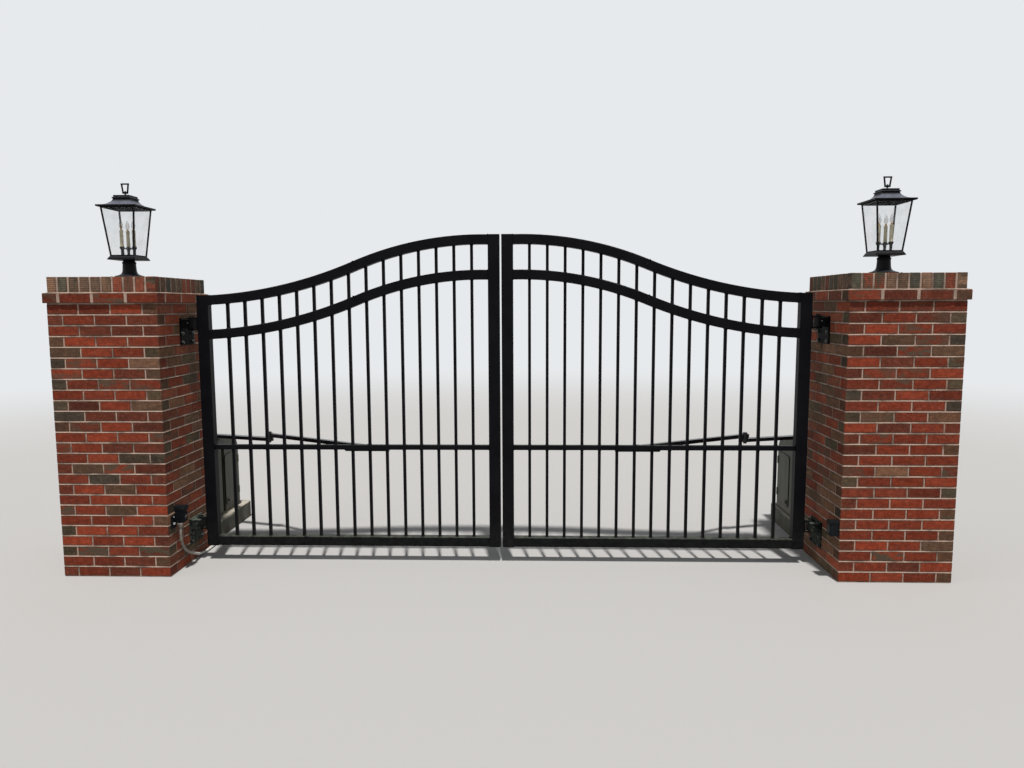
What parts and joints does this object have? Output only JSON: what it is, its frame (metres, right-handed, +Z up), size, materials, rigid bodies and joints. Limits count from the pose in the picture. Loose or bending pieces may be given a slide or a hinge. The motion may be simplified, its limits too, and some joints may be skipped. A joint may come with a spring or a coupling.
{
  "type": "driveway gate",
  "caption": "Twin-leaf arched driveway gate of black square-bar pickets, hung on brick piers with lanterns and swung by articulated-arm operators.",
  "frame": {"origin": "on the ground, midway between the two piers and midway between the gate's front-most and rear-most points", "axes": "+X along the opening to the right as seen from the street, +Y into the property, the way the leaves open, +Z up"},
  "size_m": [5.696, 1.446, 2.5519],
  "materials": {
    "brick": "wire-cut clay brick in light mortar",
    "cap_brick": "ribbed clay brick laid on edge",
    "concrete": "trowelled concrete",
    "gate_black": "satin black powder coat",
    "lantern_black": "satin black",
    "lantern_glass": "clear glazing",
    "candle": "cream candle sleeves and clear bulbs",
    "housing_grey": "weathered light grey enamel",
    "sensor_black": "moulded black",
    "conduit_grey": "flexible grey conduit"
  },
  "bodies": {
    "piers": {"left_pier": "brick", "right_pier": "brick", "left_pier_cap": "cap_brick", "right_pier_cap": "cap_brick", "left_lantern_base": "lantern_black", "right_lantern_base": "lantern_black", "left_lantern_frame": "lantern_black", "right_lantern_frame": "lantern_black", "left_lantern_glass": "lantern_glass", "right_lantern_glass": "lantern_glass", "left_lantern_roof": "lantern_black", "right_lantern_roof": "lantern_black", "left_lantern_candles": "candle", "right_lantern_candles": "candle", "left_hinge_plates": "gate_black", "right_hinge_plates": "gate_black", "left_operator_pad": "concrete", "right_operator_pad": "concrete", "left_operator_housing": "housing_grey", "right_operator_housing": "housing_grey", "left_photo_eye": "sensor_black", "right_reflector": "sensor_black", "conduit": "conduit_grey"},
    "left_leaf": {"left_hinge_yokes": "gate_black", "left_hinge_stile": "gate_black", "left_meeting_stile": "gate_black", "left_bottom_rail": "gate_black", "left_mid_rail": "gate_black", "left_lower_arch_rail": "gate_black", "left_top_arch_rail": "gate_black", "left_pickets": "gate_black", "left_arm_bracket": "gate_black"},
    "left_crank": {"left_operator_crank": "gate_black"},
    "left_link": {"left_operator_link": "gate_black"},
    "right_leaf": {"right_hinge_yokes": "gate_black", "right_hinge_stile": "gate_black", "right_meeting_stile": "gate_black", "right_bottom_rail": "gate_black", "right_mid_rail": "gate_black", "right_lower_arch_rail": "gate_black", "right_top_arch_rail": "gate_black", "right_pickets": "gate_black", "right_arm_bracket": "gate_black"},
    "right_crank": {"right_operator_crank": "gate_black"},
    "right_link": {"right_operator_link": "gate_black"}
  },
  "joints": [
    {"name": "left_leaf_hinge", "type": "hinge", "parent": "piers", "child": "left_leaf", "pos_m": [-2.076, -0.356, 0.262], "axis": [0, 0, 1], "range_deg": [0, 90]},
    {"name": "left_operator_shaft", "type": "hinge", "parent": "piers", "child": "left_crank", "pos_m": [-2.31, 0.33, 0.747], "axis": [0, 0, 1], "range_deg": [0, 220]},
    {"name": "left_arm_bracket_pin", "type": "hinge", "parent": "left_leaf", "child": "left_link", "pos_m": [-0.914, -0.3, 0.779], "axis": [0, 0, 1], "range_deg": [-18, 0]},
    {"name": "right_leaf_hinge", "type": "hinge", "parent": "piers", "child": "right_leaf", "pos_m": [2.076, -0.356, 0.262], "axis": [0, 0, -1], "range_deg": [0, 90]},
    {"name": "right_operator_shaft", "type": "hinge", "parent": "piers", "child": "right_crank", "pos_m": [2.31, 0.33, 0.747], "axis": [0, 0, -1], "range_deg": [0, 220]},
    {"name": "right_arm_bracket_pin", "type": "hinge", "parent": "right_leaf", "child": "right_link", "pos_m": [0.914, -0.3, 0.779], "axis": [0, 0, -1], "range_deg": [-18, 0]}
  ],
  "couplings": [
    {"joint": "left_operator_shaft", "follows": "left_leaf_hinge", "ratio": 2.4322},
    {"joint": "left_arm_bracket_pin", "follows": "left_leaf_hinge", "ratio": -0.18187},
    {"joint": "right_operator_shaft", "follows": "right_leaf_hinge", "ratio": 2.4322},
    {"joint": "right_arm_bracket_pin", "follows": "right_leaf_hinge", "ratio": -0.18187}
  ]
}
